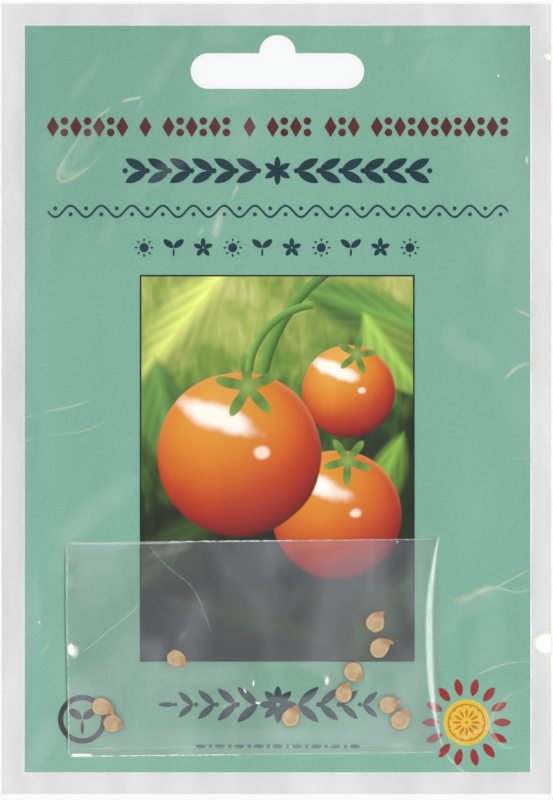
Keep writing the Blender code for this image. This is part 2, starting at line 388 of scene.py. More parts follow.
class Finish:
    """A material's node tree, with short words for the patterns that the packet's surfaces need."""

    def __init__(self, name):
        self.material = bpy.data.materials.new(name)
        self.material.use_nodes = True
        self.nodes = self.material.node_tree.nodes
        self.links = self.material.node_tree.links
        self.shader = self.nodes["Principled BSDF"]
        self.output = self.nodes["Material Output"]

    def node(self, kind, **settings):
        made = self.nodes.new(kind)
        for name, value in settings.items():
            setattr(made, name, value)
        return made

    def put(self, target, value):
        """Links a field or a socket to an input, or sets the input's own value."""
        if isinstance(value, Field):
            value = value.socket
        if isinstance(value, bpy.types.NodeSocket):
            self.links.new(value, target)
        else:
            target.default_value = value

    def math(self, operation, *values):
        made = self.node("ShaderNodeMath", operation=operation)
        for target, value in zip(made.inputs, values):
            self.put(target, value)
        return Field(self, made.outputs[0])

    def root(self, value):
        return self.math("SQRT", self.math("MAXIMUM", value, 0.0))

    def length(self, x, y):
        return self.root(x * x + y * y)

    def lowest(self, first, second):
        return self.math("MINIMUM", first, second)

    def highest(self, first, second):
        return self.math("MAXIMUM", first, second)

    def size(self, value):
        return self.math("ABSOLUTE", value)

    def place(self, centre=(0.0, 0.0), turn=0.0):
        """X and Y in millimetres from that centre, also in millimetres, along turned axes."""
        at = self.node("ShaderNodeTexCoord").outputs["Object"]
        moved = self.node("ShaderNodeMapping", vector_type="TEXTURE")
        moved.inputs["Location"].default_value = (centre[0] * MM, centre[1] * MM, 0.0)
        moved.inputs["Rotation"].default_value = (0.0, 0.0, turn)
        moved.inputs["Scale"].default_value = (MM, MM, MM)
        self.links.new(at, moved.inputs["Vector"])
        split = self.node("ShaderNodeSeparateXYZ")
        self.links.new(moved.outputs["Vector"], split.inputs[0])
        return Field(self, split.outputs["X"]), Field(self, split.outputs["Y"])

    def height(self):
        """Z in millimetres."""
        at = self.node("ShaderNodeTexCoord").outputs["Object"]
        split = self.node("ShaderNodeSeparateXYZ")
        self.links.new(at, split.inputs[0])
        return Field(self, split.outputs["Z"]) * 1000.0

    def attribute(self, name):
        return Field(self, self.node("ShaderNodeAttribute", attribute_name=name).outputs["Fac"])

    def spread(self, stretch=(1.0, 1.0, 1.0), turn=0.0):
        """The packet's own place in millimetres, with its axes stretched, for a texture to read."""
        at = self.node("ShaderNodeTexCoord").outputs["Object"]
        moved = self.node("ShaderNodeMapping")
        moved.inputs["Rotation"].default_value = (0.0, 0.0, turn)
        moved.inputs["Scale"].default_value = tuple(share / MM for share in stretch)
        self.links.new(at, moved.inputs["Vector"])
        return moved.outputs["Vector"]

    def noise(self, size, detail=2.0, stretch=(1.0, 1.0, 1.0), turn=0.0, distortion=0.0):
        """Soft random values from 0 to 1, with patches about size millimetres wide."""
        made = self.node("ShaderNodeTexNoise")
        self.links.new(self.spread(stretch, turn), made.inputs["Vector"])
        made.inputs["Scale"].default_value = 1.0 / size
        made.inputs["Detail"].default_value = detail
        made.inputs["Distortion"].default_value = distortion
        return Field(self, made.outputs["Fac"])

    def ease(self, value, low, high, start=0.0, end=1.0):
        """Start below low, end above high and a smooth way between them."""
        made = self.node("ShaderNodeMapRange", interpolation_type="SMOOTHSTEP")
        names = ("Value", "From Min", "From Max", "To Min", "To Max")
        for name, put in zip(names, (value, low, high, start, end)):
            self.put(made.inputs[name], put)
        return Field(self, made.outputs["Result"])

    def ramp(self, value, *stops):
        """A colour for the value: each stop is a position and a colour."""
        made = self.node("ShaderNodeValToRGB")
        self.put(made.inputs["Fac"], value)
        marks = made.color_ramp.elements
        while len(marks) < len(stops):
            marks.new(1.0)
        for mark, (position, colour) in zip(marks, stops):
            mark.position = position
            mark.color = (*colour, 1.0)
        return made.outputs["Color"]

    def mix(self, share, first, second, way="MIX"):
        """The first colour, with the second laid over it by that share."""
        made = self.node("ShaderNodeMix", data_type="RGBA", blend_type=way)
        self.put(made.inputs["Factor"], share)
        for name, colour in (("A", first), ("B", second)):
            target = next(i for i in made.inputs if i.name == name and i.type == "RGBA")
            self.put(target, (*colour, 1.0) if isinstance(colour, tuple) else colour)
        return next(o for o in made.outputs if o.type == "RGBA")

    def shaded(self, colour, light):
        """The colour under more light or less, up to twice as much."""
        grey = self.ramp(light * 0.5, (0.0, (0, 0, 0)), (1.0, (2, 2, 2)))
        return self.mix(1.0, colour, grey, "MULTIPLY")

    def bump(self, height, distance):
        made = self.node("ShaderNodeBump")
        self.put(made.inputs["Height"], height)
        made.inputs["Distance"].default_value = distance
        return made.outputs["Normal"]

    def layer(self, share, under, over):
        """One shader over another."""
        made = self.node("ShaderNodeMixShader")
        self.put(made.inputs[0], share)
        self.links.new(under, made.inputs[1])
        self.links.new(over, made.inputs[2])
        return made.outputs[0]

    def painted(self, colour, roughness, mirror, normal=None):
        """The material, with that colour, roughness and share of mirror light on its own shader."""
        self.put(self.shader.inputs["Base Color"], colour)
        self.put(self.shader.inputs["Roughness"], roughness)
        self.shader.inputs["Specular IOR Level"].default_value = mirror
        if normal:
            self.put(self.shader.inputs["Normal"], normal)
        return self.material

    def surface(self, shader):
        self.links.new(shader, self.output.inputs["Surface"])
        return self.material


def shared(colour, factor):
    """The colour made darker or lighter by a factor."""
    return tuple(min(1.0, part * factor) for part in colour)


# The card's ink and its board
TEAL = (0.192, 0.413, 0.3135)
PAPER = (0.80, 0.81, 0.78)

# The share of light that a film scatters where its painted sheen makes it dullest
SHEEN = 0.105


def teal_card():
    """Printed board: teal ink on the front with painted light, shade and reflection on it, white board at the
    cut edges and on the back.
    """
    finish = Finish("card_print")
    low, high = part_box("card")
    face = high.z / MM
    x, y = finish.place()
    cloud = finish.noise(26.0, 2.0)
    grain = finish.noise(0.35, 3.0)
    slant = (x - y) * 0.5
    # Painted light and shade: the ink is darker towards the upper left and a little lighter towards the lower
    # right
    lift = finish.ease(slant, -52.0, -18.0, 0.90, 1.0) * finish.ease(slant, -20.0, 50.0, 0.995, 1.02)
    shade = lift * finish.ease(cloud, 0.25, 0.75, 0.98, 1.02) * finish.ease(grain, 0.3, 0.7, 0.997, 1.003)
    ink = finish.shaded(TEAL, shade)
    middle = (low.x + high.x) / 2 / MM
    half_width, half_length = (high.x - low.x) / 2 / MM, (high.y - low.y) / 2 / MM
    inset = finish.lowest(half_width - finish.size(x - middle), half_length - finish.size(y))
    # Painted reflection: a faint bluish band in the ink along the card's left edge
    painted_reflection_band = finish.ease(x, middle - half_width + 1.9, middle - half_width + 3.6, 1.0, 0.0)
    ink = finish.mix(painted_reflection_band, ink, finish.mix(1.0, ink, (0.965, 0.985, 1.05), "MULTIPLY"))
    # Painted shade: a thin grey line just inside the card's cut edges
    ink = finish.mix(finish.ease(inset, 0.05, 0.32, 0.22, 0.0), ink, (0.30, 0.30, 0.29))
    fray = finish.noise(0.5, 2.0) * 0.12
    printed = finish.ease(inset - fray, 0.02, 0.08)
    on_face = finish.ease(finish.height(), face - 0.05, face - 0.03)
    fibre = finish.noise(0.12, 4.0, stretch=(1.0, 1.0, 3.0))
    board = finish.mix(finish.ease(fibre, 0.3, 0.7), shared(PAPER, 0.9), PAPER)
    paint = finish.mix(printed * on_face, board, ink)
    return finish.painted(paint, finish.ease(grain, 0.2, 0.8, 0.24, 0.32), 0.3)


def ink(name, colour, mottle=0.10):
    """Printing ink, a little uneven on the board."""
    finish = Finish(name)
    grain = finish.noise(0.22, 3.0)
    patch = finish.noise(2.5, 1.0)
    value = grain * 0.6 + patch * 0.4
    paint = finish.ramp(value, (0.3, shared(colour, 1.0 - mottle)), (0.7, shared(colour, 1.0 + mottle)))
    return finish.painted(paint, finish.ease(grain, 0.2, 0.8, 0.22, 0.30), 0.3)


def film(name, index, roughness, tint, haze, dull, shade=0.0):
    """Clear film: it mirrors more at a slant, lets the rest through, and is duller in patches.

    A straight ray leaves the film as it came in, so its inner faces take the inverse index. Where it is
    pressed to the next film it mirrors little and isn't dull. Shade is painted shade that darkens it towards
    the upper left, and the sheen that its points carry paints duller patches that stand for its reflections.
    """
    finish = Finish(name)
    finish.nodes.remove(finish.shader)
    normal = finish.bump(finish.noise(7.0, 1.0), 0.02 * MM)
    inside = finish.node("ShaderNodeNewGeometry").outputs["Backfacing"]
    fresnel = finish.node("ShaderNodeFresnel")
    finish.put(fresnel.inputs["IOR"], finish.ease(Field(finish, inside), 0.0, 1.0, index, 1.0 / index))
    finish.put(fresnel.inputs["Normal"], normal)
    clear = finish.node("ShaderNodeBsdfTransparent")
    band = finish.noise(6.0, 2.0, stretch=(1.0, 0.22, 1.0), turn=0.06)
    colour = finish.ramp(band, (0.3, shared(tint, 0.982)), (0.7, tint))
    x, y = finish.place()
    # Painted shade: the film lets less light through towards the upper left
    painted_shade = finish.ease(x * 0.7 - y * 0.3, -40.0, 10.0, shade, 0.0)
    finish.put(clear.inputs["Color"], finish.mix(painted_shade, colour, (0.0, 0.0, 0.0)))
    gloss = finish.node("ShaderNodeBsdfGlossy")
    gloss.inputs["Color"].default_value = (1.0, 0.97, 0.97, 1.0)
    gloss.inputs["Roughness"].default_value = roughness
    finish.put(gloss.inputs["Normal"], normal)
    milk = finish.node("ShaderNodeBsdfDiffuse")
    milk.inputs["Color"].default_value = (*dull, 1.0)
    free = 1.0 - finish.attribute("pressed")
    patches = finish.noise(13.0, 2.0, stretch=(1.0, 0.45, 1.0), turn=0.75, distortion=0.5)
    cloud = haze * 0.4 + finish.ease(patches, 0.38, 0.72, 0.0, haze * 0.45)
    # Painted sheen: patches where the film scatters more light, standing for its broad reflections
    cloud = cloud + finish.attribute("sheen") * SHEEN
    share = finish.math("MULTIPLY", fresnel.outputs[0], free * 0.8 + 0.2)
    surface = finish.layer(share, clear.outputs[0], gloss.outputs[0])
    return finish.surface(finish.layer(finish.highest(cloud, 0.0) * free, surface, milk.outputs[0]))


def mark_finish(name, colour):
    """A mark on film: its outer face shows by the share that its points carry."""
    finish = Finish(name)
    finish.nodes.remove(finish.shader)
    clear = finish.node("ShaderNodeBsdfTransparent")
    chalk = finish.node("ShaderNodeBsdfDiffuse")
    grain = finish.noise(0.25, 2.0)
    finish.put(chalk.inputs["Color"], finish.ramp(grain, (0.3, shared(colour, 0.94)), (0.7, colour)))
    inside = Field(finish, finish.node("ShaderNodeNewGeometry").outputs["Backfacing"])
    share = finish.attribute("white") * finish.ease(grain, 0.3, 0.6, 1.6, 1.9) * (1.0 - inside)
    return finish.surface(finish.layer(share, clear.outputs[0], chalk.outputs[0]))


def seed_coat(name, seed):
    """Dry seed: tan, with a paler rim of painted highlight, a darker outline of painted shade, an
    orange-brown beak and fine pits.
    """
    finish = Finish(name)
    grain = finish.noise(0.16, 4.0)
    patch = finish.noise(0.9 + 0.05 * seed, 2.0)
    beak = finish.attribute("beak")
    rim = finish.attribute("rim")
    tan = finish.ramp(
        grain * 0.45 + patch * 0.55,
        (0.28, (0.40, 0.26, 0.105)),
        (0.5, (0.54, 0.375, 0.175)),
        (0.74, (0.66, 0.50, 0.28)),
    )
    # Painted highlight: the raised rim drawn paler
    tan = finish.mix(finish.ease(rim, 0.35, 1.0, 0.0, 0.5), tan, (0.82, 0.62, 0.30))
    reach = beak + (patch - 0.5) * 0.35
    coat = finish.mix(finish.ease(reach, 0.06, 0.42, 0.0, 0.9), tan, (0.47, 0.205, 0.036))
    coat = finish.mix(finish.attribute("groove") * 0.8, coat, (0.30, 0.105, 0.022))
    coat = finish.mix(finish.ease(reach, 0.86, 1.1, 0.0, 0.7), coat, (0.82, 0.60, 0.32))
    # Painted shade: a darker outline round the seed
    coat = finish.mix(finish.attribute("edge") * 0.55, coat, (0.26, 0.15, 0.055))
    return finish.painted(coat, finish.ease(grain, 0.2, 0.8, 0.5, 0.7), 0.35, finish.bump(grain, 0.03 * MM))


# Picture


# A fruit's colours from its dark side to its light one, and where its light comes from
FRUIT_COLOURS = (
    (0.0, (0.10, 0.004, 0.004)),
    (0.30, (0.33, 0.018, 0.010)),
    (0.52, (0.50, 0.052, 0.008)),
    (0.72, (0.64, 0.155, 0.012)),
    (0.88, (0.70, 0.28, 0.022)),
    (1.0, (0.76, 0.40, 0.07)),
)
LIGHT = Vector((-0.28, 0.62, 0.73)).normalized()


def leaf_over(finish, colour, base, place, turn, length, width, blur):
    """A pointed leaf laid over a colour, its two halves lit unevenly on either side of the midrib."""
    u, v = finish.place(place, turn)
    u, v = u / length, v / width
    half = 1.0 - u * u
    inside = finish.ease(half - finish.size(v), -blur, blur)
    side = finish.ease(v, -0.08, 0.08, 0.72, 1.18)
    veins = finish.math("SINE", (finish.size(v) * 0.9 + u) * 16.0)
    tone = side * finish.ease(veins, -1.0, 1.0, 0.9, 1.08) * finish.ease(u, -1.0, 1.0, 0.8, 1.15)
    green = finish.shaded(base, tone)
    midrib = finish.ease(finish.size(v), 0.0, 0.10 + blur, 0.5, 0.0)
    green = finish.mix(midrib, green, shared(base, 1.9))
    return finish.mix(inside, colour, green)


def fruit_over(finish, colour, place, radius, glow):
    """A round glossy fruit laid over a colour: lit from the upper left, with a dark foot."""
    x, y = finish.place(place)
    wobble = finish.noise(radius * 0.7, 1.0)
    x, y = x / radius, y / radius
    reach = finish.length(x, y) + (wobble - 0.5) * 0.05
    inside = finish.ease(reach, 0.985, 1.01, 1.0, 0.0)
    z = finish.root(1.0 - reach * reach)
    lit = x * LIGHT.x + y * LIGHT.y + z * LIGHT.z
    lit = lit + (wobble - 0.5) * 0.16
    skin = finish.ramp(lit * 0.62 * glow + 0.34, *FRUIT_COLOURS)
    rim = finish.ease(z, 0.0, 0.45, 0.35, 0.0) * finish.ease(y, -0.2, 0.8)
    skin = finish.mix(rim, skin, (0.95, 0.62, 0.25))
    bend = finish.noise(radius * 0.35, 2.0)
    window = finish.length((x + 0.30) / 1.7, (y - 0.36 + x * 0.35) / 0.62) + (bend - 0.5) * 0.30
    skin = finish.mix(finish.ease(window, 0.14, 0.34, 0.92, 0.0), skin, (0.98, 0.93, 0.86))
    spark = finish.length((x - 0.28) / 0.9, (y - 0.02) / 0.7) + (bend - 0.5) * 0.12
    skin = finish.mix(finish.ease(spark, 0.05, 0.13, 0.8, 0.0), skin, (0.98, 0.86, 0.70))
    return finish.mix(inside, colour, skin)


def calyx_over(finish, colour, place, radius, turn):
    """A green star of five points where the stem meets a fruit."""
    x, y = finish.place(place, turn)
    angle = finish.math("ARCTAN2", y, x)
    wave = finish.math("COSINE", angle * 5.0) * 0.5 + 0.5
    edge = finish.math("POWER", wave, 1.6) * 0.72 + 0.28
    reach = finish.length(x, y) / radius
    inside = finish.ease(reach - edge, -0.05, 0.05, 1.0, 0.0)
    greens = (0.0, (0.30, 0.42, 0.10)), (0.5, (0.10, 0.22, 0.035)), (1.0, (0.22, 0.36, 0.07))
    green = finish.ramp(reach, *greens)
    return finish.mix(inside, colour, green)


def stem_over(finish, colour, centre, radius, start, end, width, green):
    """A round stem along an arc, from one angle to another in degrees."""
    x, y = finish.place(centre)
    across = (finish.length(x, y) - radius) / width
    angle = finish.math("ARCTAN2", y, x) * (180.0 / math.pi)
    along = finish.ease(angle, start - 1.0, start + 1.0) * finish.ease(angle, end - 1.0, end + 1.0, 1.0, 0.0)
    inside = finish.ease(finish.size(across), 0.82, 1.0, 1.0, 0.0) * along
    round_light = finish.ease(across, -1.0, 0.9, 0.45, 1.5)
    skin = finish.shaded(green, round_light)
    return finish.mix(inside, colour, skin)


def garden_picture():
    """Three round orange fruits on a vine before soft leaves, bright above and dark below."""
    finish = Finish("picture_print")
    centre = (PICTURE_PLACE[0] / MM, PICTURE_PLACE[1] / MM)
    x, y = finish.place(centre)
    high = finish.ease(y + x * -0.25, -16.0, 34.0)
    soft = finish.noise(8.0, 2.0, stretch=(1.0, 0.75, 1.0), turn=0.6, distortion=0.8)
    fine = finish.noise(3.2, 1.0, stretch=(1.6, 0.7, 1.0), turn=-0.5, distortion=0.6)
    depth = soft * 0.65 + fine * 0.35
    value = depth * 0.7 + high * 0.56 - 0.17
    colour = finish.ramp(
        value,
        (0.12, (0.006, 0.008, 0.006)),
        (0.32, (0.016, 0.034, 0.010)),
        (0.48, (0.065, 0.14, 0.024)),
        (0.62, (0.17, 0.29, 0.045)),
        (0.76, (0.38, 0.45, 0.10)),
        (0.92, (0.72, 0.66, 0.30)),
    )

    def here(right, up):
        return centre[0] + right, centre[1] + up

    for place, turn, length, width, blur, green in (
        (here(-17.0, 27.0), 0.9, 13.0, 4.6, 0.45, (0.50, 0.58, 0.14)),
        (here(16.5, 29.0), -0.35, 14.0, 4.2, 0.35, (0.12, 0.26, 0.05)),
        (here(-20.5, 9.5), 1.75, 11.0, 4.4, 0.30, (0.10, 0.22, 0.05)),
        (here(21.5, 21.0), 2.2, 9.5, 4.8, 0.18, (0.26, 0.42, 0.07)),
        (here(-19.0, -15.5), 0.75, 10.5, 4.4, 0.35, (0.030, 0.062, 0.016)),
        (here(20.0, -2.0), 1.2, 9.0, 3.2, 0.30, (0.16, 0.30, 0.04)),
        (here(-6.0, -28.0), -0.25, 14.0, 4.8, 0.5, (0.022, 0.040, 0.018)),
        (here(18.0, -29.0), 0.9, 12.0, 4.5, 0.5, (0.030, 0.060, 0.020)),
    ):
        colour = leaf_over(finish, colour, green, place, turn, length, width, blur)
    colour = fruit_over(finish, colour, here(13.2, 14.2), 8.6, 1.10)
    colour = stem_over(finish, colour, here(27.0, 12.0), 30.0, 118.0, 178.0, 1.0, (0.10, 0.24, 0.04))
    colour = fruit_over(finish, colour, here(11.0, -8.6), 12.0, 0.92)
    colour = fruit_over(finish, colour, here(-7.0, 2.6), 15.2, 1.0)
    colour = calyx_over(finish, colour, here(-5.4, 15.0), 6.2, 0.4)
    colour = calyx_over(finish, colour, here(13.0, 1.4), 4.6, 0.9)
    colour = calyx_over(finish, colour, here(14.6, 21.0), 3.8, 0.1)
    colour = stem_over(finish, colour, here(8.0, 17.0), 13.2, 96.0, 176.0, 0.8, (0.14, 0.30, 0.05))
    dots = finish.noise(0.16, 1.0)
    colour = finish.mix(finish.ease(dots, 0.35, 0.65, 0.0, 0.008), colour, (0.9, 0.9, 0.9))
    return finish.painted(colour, finish.ease(dots, 0.2, 0.8, 0.2, 0.27), 0.25)


# Room and light


def camera():
    """Straight down on the packet, at the height that shows the picture's frame at the card's face."""
    view = bpy.data.cameras.new("camera")
    view.lens = LENS
    view.sensor_width = SENSOR
    view.clip_start = 0.02
    taken = bpy.data.objects.new("camera", view)
    bpy.context.collection.objects.link(taken)
    height = PHOTO_HEIGHT * PIXEL * LENS / SENSOR
    taken.location = (*VIEW_CENTRE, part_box("card")[1].z + height)
    bpy.context.scene.camera = taken


def floor():
    """A plain pale floor, wide enough to fill the picture."""
    ground = added(bpy.ops.mesh.primitive_plane_add, size=FLOOR_WIDTH, location=(0.0, 0.0, -TOUCH))
    settled(ground, "floor")
    finish = Finish("pale_floor")
    grain = finish.noise(40.0, 2.0)
    paint = finish.ramp(grain, (0.3, (0.756, 0.756, 0.758)), (0.7, (0.764, 0.764, 0.766)))
    ground.data.materials.append(finish.painted(paint, 0.9, 0.0))


SKY_STRENGTH = 3.33
# Light from each height of the room: the sine of the height above the floor, and the share of SKY_STRENGTH
SKY = (
    (0.0, 0.3), (0.06, 0.3), (0.14, 0.18), (0.54, 0.18), (0.66, 0.85), (0.80, 0.85), (0.87, 0.11),
    (1.0, 0.035),
)


def sky():
    """A light tent: dim overhead, where the camera looks in, with a bright band round it."""
    world = bpy.data.worlds.new("light_tent")
    world.use_nodes = True
    nodes, links = world.node_tree.nodes, world.node_tree.links
    split = nodes.new("ShaderNodeSeparateXYZ")
    links.new(nodes.new("ShaderNodeTexCoord").outputs["Generated"], split.inputs[0])
    ramp = nodes.new("ShaderNodeValToRGB")
    ramp.color_ramp.interpolation = "EASE"
    marks = ramp.color_ramp.elements
    while len(marks) < len(SKY):
        marks.new(1.0)
    for mark, (height, light) in zip(marks, SKY):
        mark.position = height
        mark.color = (light, light, light, 1.0)
    links.new(split.outputs["Z"], ramp.inputs["Fac"])
    links.new(ramp.outputs["Color"], nodes["Background"].inputs["Color"])
    nodes["Background"].inputs["Strength"].default_value = SKY_STRENGTH
    bpy.context.scene.world = world


# A long lamp on the right, turned to the packet: its tilt from straight up, its distance, size and power
STRIP_TILT = math.radians(52.0)
STRIP_DISTANCE = 0.9
STRIP_SIZE = (0.2, 1.3)
STRIP_POWER = 4.0


def right_strip():
    """The lamp that the film's folds and creases mirror, and that doesn't light the print."""
    lamp = bpy.data.lights.new("right_strip", "AREA")
    lamp.shape = "RECTANGLE"
    lamp.size, lamp.size_y = STRIP_SIZE
    lamp.energy = STRIP_POWER
    made = bpy.data.objects.new("right_strip", lamp)
    bpy.context.collection.objects.link(made)
    turn = Euler((0.0, STRIP_TILT, 0.0))
    made.rotation_euler = turn
    made.visible_diffuse = False
    made.location = turn.to_matrix() @ Vector((0.0, 0.0, STRIP_DISTANCE))


def light():
    sky()
    right_strip()
    scene = bpy.context.scene
    scene.view_settings.view_transform = "Standard"
    scene.cycles.use_denoising = True
    scene.cycles.transparent_max_bounces = 24
    scene.cycles.max_bounces = 4
    scene.cycles.diffuse_bounces = 2
    scene.cycles.glossy_bounces = 2


# Shapes


def slot_cutter(low, high):
    """The hang slot as a solid from one height to the other: a circle drawn out sideways, and its bump."""
    centre = (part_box("card")[0].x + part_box("card")[1].x) / 2
    end = SLOT_HEIGHT / 2
    posts = []
    for name, radius, y in (("slot_cutter", end, SLOT_TOP - end), ("slot_bump", SLOT_BUMP_RADIUS, SLOT_TOP)):
        post = added(
            bpy.ops.mesh.primitive_cylinder_add, vertices=96, radius=radius, depth=high - low,
            location=(centre, y, (low + high) / 2),
        )
        posts.append(settled(post, name))
    slot, bump = posts
    points = corners_of(slot)
    points[:, 0] += np.sign(points[:, 0] - centre) * (SLOT_WIDTH / 2 - end)
    set_corners(slot, points)
    finish_modifier(slot, "BOOLEAN", operation="UNION", object=bump, solver="EXACT")
    remove(bump)
    return slot


def punch(piece, cutter):
    """The slot through a piece."""
    finish_modifier(piece, "BOOLEAN", operation="DIFFERENCE", object=cutter, solver="MANIFOLD")


def card_board(cutter):
    """The card, with its edges a little rounded by the knife."""
    low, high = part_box("card")
    board = added(bpy.ops.mesh.primitive_cube_add, size=1.0, location=(low + high) / 2, scale=high - low)
    settled(board, "card_board")
    punch(board, cutter)
    finish_modifier(board, "BEVEL", width=0.05 * MM, segments=2, limit_method="ANGLE")
    smooth(board)
    place(board, teal_card(), "card", "card")
    board.visible_shadow = False
    board.visible_diffuse = False


def place(piece, finish, slot, *nodes):
    """The piece gets its material, rides with the packet and stands for those nodes."""
    piece.data.materials.clear()
    piece.data.materials.append(finish)
    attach(piece, "root")
    piece.visible_shadow = "film" not in slot
    if nodes:
        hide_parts(*nodes)
    return piece


def flat_sheet(name, width, length, step):
    """A flat grid of even squares about step wide, that heights are given to afterwards."""
    columns, rows = max(1, round(width / step)), max(1, round(length / step))
    sheet = added(bpy.ops.mesh.primitive_grid_add, x_subdivisions=columns, y_subdivisions=rows, size=1.0)
    sheet.scale = (width, length, 1.0)
    return settled(sheet, name)


def refine(sheet, distance, reach):
    """Splits the faces whose middle lies within reach, by a function of x and y."""
    count = len(sheet.data.polygons)
    centres = np.empty(count * 3)
    sheet.data.polygons.foreach_get("center", centres)
    centres = centres.reshape(-1, 3)
    near = distance(centres[:, 0], centres[:, 1]) < reach
    with Editing(sheet, "FACE"):
        bpy.ops.object.mode_set(mode="OBJECT")
        sheet.data.polygons.foreach_set("select", near)
        bpy.ops.object.mode_set(mode="EDIT")
        bpy.ops.mesh.subdivide(number_cuts=1)


def curve_through(points):
    """Points on a smooth curve through those given in mm, eight to each span, in metres."""
    given = np.array(points, float) * MM
    ends = np.vstack([2 * given[0] - given[1], given, 2 * given[-1] - given[-2]])
    found = []
    for i in range(1, len(ends) - 2):
        a, b, c, d = ends[i - 1 : i + 3]
        for t in np.linspace(0.0, 1.0, 8, endpoint=False):
            bend = (2 * a - 5 * b + 4 * c - d) * t * t + (3 * b - a - 3 * c + d) * t**3
            found.append(0.5 * (2 * b + (c - a) * t + bend))
    return np.vstack([found, given[-1:]])


def along(path, x, y):
    """Signed distance to a path, positive on its left, and the nearest point's share of its length."""
    best = np.full(x.shape, np.inf)
    signed = np.zeros(x.shape)
    share = np.zeros(x.shape)
    for i, (start, end) in enumerate(zip(path, path[1:])):
        run = end - start
        size = float(np.hypot(*run))
        dx, dy = x - start[0], y - start[1]
        t = np.clip((dx * run[0] + dy * run[1]) / size**2, 0.0, 1.0)
        gap = np.hypot(dx - t * run[0], dy - t * run[1])
        closer = gap < best
        best = np.where(closer, gap, best)
        signed = np.where(closer, (run[0] * dy - run[1] * dx) / size, signed)
        share = np.where(closer, (i + t) / (len(path) - 1), share)
    return np.sign(signed) * best, share


def ease(share):
    """From 0 to 1 with a smooth start and a smooth end."""
    share = np.clip(share, 0.0, 1.0)
    return share * share * (3.0 - 2.0 * share)


def taper(share, ends=0.16):
    """0 at both ends of a crease and 1 in its middle."""
    return ease(share / ends) * ease((1.0 - share) / ends)


def turned(x, y, turn):
    """Places turned about the origin."""
    cos, sin = math.cos(turn), math.sin(turn)
    return x * cos - y * sin, x * sin + y * cos


def sachet_frame(x, y):
    """Places in the sachet's own turned frame."""
    return turned(x - SACHET_PLACE[0], y - SACHET_PLACE[1], -SACHET_TURN)


def soft_top(values, softness):
    """The highest of several heights, with the joins between them rounded."""
    top = np.max(np.broadcast_arrays(*values), axis=0)
    return top + softness * np.log(sum(np.exp((value - top) / softness) for value in values))


def over_seeds(x, y):
    """The height of film that lies over the seeds and comes down from each at an even slope."""
    peak = SEED_MIDDLE + SEED_THICKNESS / 2 + TENT_CLEARANCE
    gaps = [np.maximum(np.hypot(x - sx * MM, y - sy * MM) - TENT_TOP_RADIUS, 0.0) for sx, sy, *_ in SEEDS]
    return soft_top([peak - TENT_SLOPE * gap for gap in gaps], 0.03 * MM)


def waves(x, y, seed, length, height):
    """Slow random undulation."""
    count = 7
    draw = np.random.default_rng(seed)
    total = np.zeros(x.shape)
    for _ in range(count):
        way, phase = draw.uniform(0.0, 2 * math.pi, 2)
        size = length * draw.uniform(0.6, 1.6)
        total += np.sin(2 * math.pi * (x * math.cos(way) + y * math.sin(way)) / size + phase) * size / length
    return total * height / math.sqrt(count)


# Height of the sleeve's front film: at distances from the sleeve's edge, and what the card adds to it at
# distances past the card's edge, all in mm
RIM = ((0.0, 0.205), (0.6, 0.22), (3.0, 0.24), (80.0, 0.24))
CARD_STEP = ((-80.0, 0.74), (0.01, 0.74), (0.13, 0.0), (80.0, 0.0))

# Where the front film is cut across to follow that step, in mm past the card's edge
CARD_EDGE_CUTS = (-0.05, 0.0, 0.03, 0.07, 0.11, 0.16, 0.25)

# Over the card the film lifts in its middle, over the sachet it domes and keeps clear of the sachet's own
# film. Pleats run in from the sachet's left edge.
CARD_LIFT = 0.34 * MM
CARD_LIFT_RUN = 7.0 * MM
DOME = 2.6 * MM
SACHET_CLEARANCE = 0.17 * MM
PLEAT_HEIGHT = 0.13 * MM
PLEAT_PITCH = 3.7 * MM
PLEAT_INSET = 1.3 * MM
PLEAT_WIDTH = 1.5 * MM


def edge_profile(inset, points, blur):
    """Height at a distance from the edge: straight runs with rounded corners, from points in mm."""
    at, heights = np.array(points).T * MM
    return sum(np.interp(inset + shift * blur, at, heights) for shift in np.linspace(-1.0, 1.0, 9)) / 9


def sachet_top(x, y):
    """Height of the sachet's front film: welded at its edges, and over the seeds."""
    u, v = sachet_frame(x, y)
    inset = np.minimum(SACHET_WIDTH / 2 - np.abs(u), SACHET_LENGTH / 2 - np.abs(v))
    loose = SACHET_WELD + SACHET_SLACK + waves(x, y, 11, 14 * MM, 0.03 * MM)
    loose = soft_top((loose, over_seeds(x, y)), 0.04 * MM)
    rise = SACHET_WELD + WELD_SLOPE * np.maximum(inset - WELD_WIDTH, 0.0) + np.minimum(inset, 0.0)
    crimp = CRIMP_DEPTH * np.sin(2 * math.pi * v / CRIMP_PITCH)
    crimp *= np.exp(-(((u + SACHET_WIDTH / 2) / CRIMP_REACH) ** 2))
    return -soft_top((-loose, -rise), 0.03 * MM) + crimp


